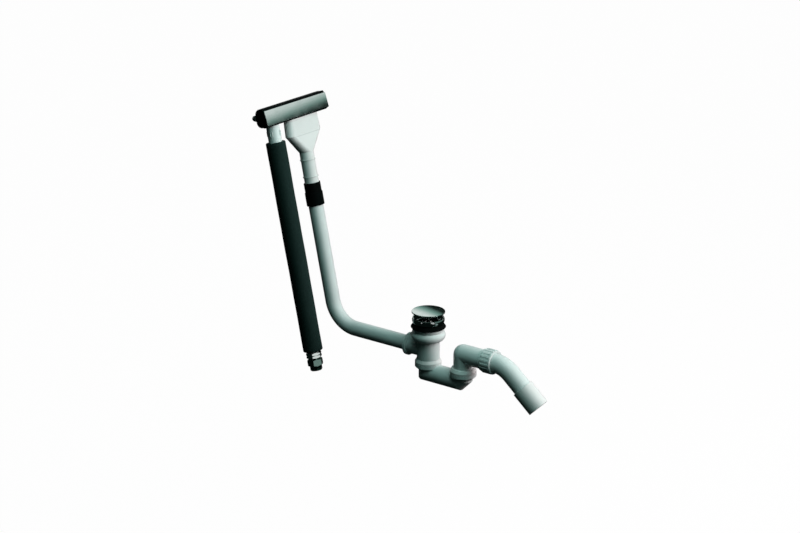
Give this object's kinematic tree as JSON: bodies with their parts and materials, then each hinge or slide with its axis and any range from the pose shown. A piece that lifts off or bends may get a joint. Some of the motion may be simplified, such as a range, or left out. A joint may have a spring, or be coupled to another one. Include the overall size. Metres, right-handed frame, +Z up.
{
  "type": "bath waste and overflow",
  "caption": "Bath waste and overflow: push-open plug, bowl body, shallow trap with a swivelling outlet bend, and a bent pipe up to a wall bar fed by a foam-sleeved supply tube.",
  "frame": {"origin": "on the axis of the bath outlet, on the seat where the flange and the gasket clamp the bath floor", "axes": "+Z up along the outlet axis, +X from the overflow towards the trap outlet, +Y across"},
  "size_m": [0.6577, 0.199, 0.5738],
  "materials": {
    "chrome_lid": "polished chrome",
    "chrome_flange": "polished chrome",
    "chrome_bar": "satin chrome",
    "plated_brass": "nickel plated",
    "brass": "plain brass",
    "steel": "bright zinc",
    "grey_plastic": "satin moulded polypropylene",
    "white_plastic": "satin moulded plastic",
    "black_plastic": "satin moulded plastic",
    "black_rubber": "matt rubber",
    "black_foam": "closed-cell foam with a smooth skin"
  },
  "bodies": {
    "base": {"waste_flange": "chrome_flange", "cover_plate": "chrome_bar", "supply_nut": "plated_brass", "inlet_fitting": "plated_brass", "compression_ring": "brass", "plug_spring": "steel", "clamp_bolts": "steel", "clamp_washers": "steel", "clamp_nuts": "steel", "waste_body": "grey_plastic", "trap_bend": "grey_plastic", "trap_inlet_ring": "grey_plastic", "trap_outlet_ring": "grey_plastic", "overflow_pipe": "grey_plastic", "overflow_funnel": "grey_plastic", "inlet_stub": "white_plastic", "cartridge_body": "white_plastic", "cartridge_cap": "white_plastic", "supply_tube": "white_plastic", "head_housing": "black_plastic", "cover_carrier": "black_plastic", "coupling_ring": "black_plastic", "bath_gasket": "black_rubber", "branch_seal": "black_rubber", "trap_inlet_seal": "black_rubber", "trap_outlet_seal": "black_rubber", "coupling_sleeve": "black_rubber", "funnel_seal": "black_rubber", "wall_gasket": "black_rubber", "inlet_seal": "black_rubber", "insulation_sleeve": "black_foam"},
    "plug": {"plug_lid": "chrome_lid", "plug_seal": "black_rubber", "plug_stem": "plated_brass"},
    "outlet": {"outlet_elbow": "grey_plastic", "union_seal": "black_rubber", "union_nut": "grey_plastic", "outlet_bend": "grey_plastic", "outlet_sleeve": "white_plastic"}
  },
  "joints": [
    {"name": "plug_lift", "type": "slide", "parent": "base", "child": "plug", "axis": [0, 0, 1], "range_m": [-0.0102, 0], "stiffness_N_per_m": 400, "springref_m": 0.008, "deforming": ["plug_spring"]},
    {"name": "outlet_swivel", "type": "hinge", "parent": "base", "child": "outlet", "pos_m": [0.09, 0, -0.0488], "axis": [0, 0, 1], "range_deg": [-90, 90]}
  ]
}
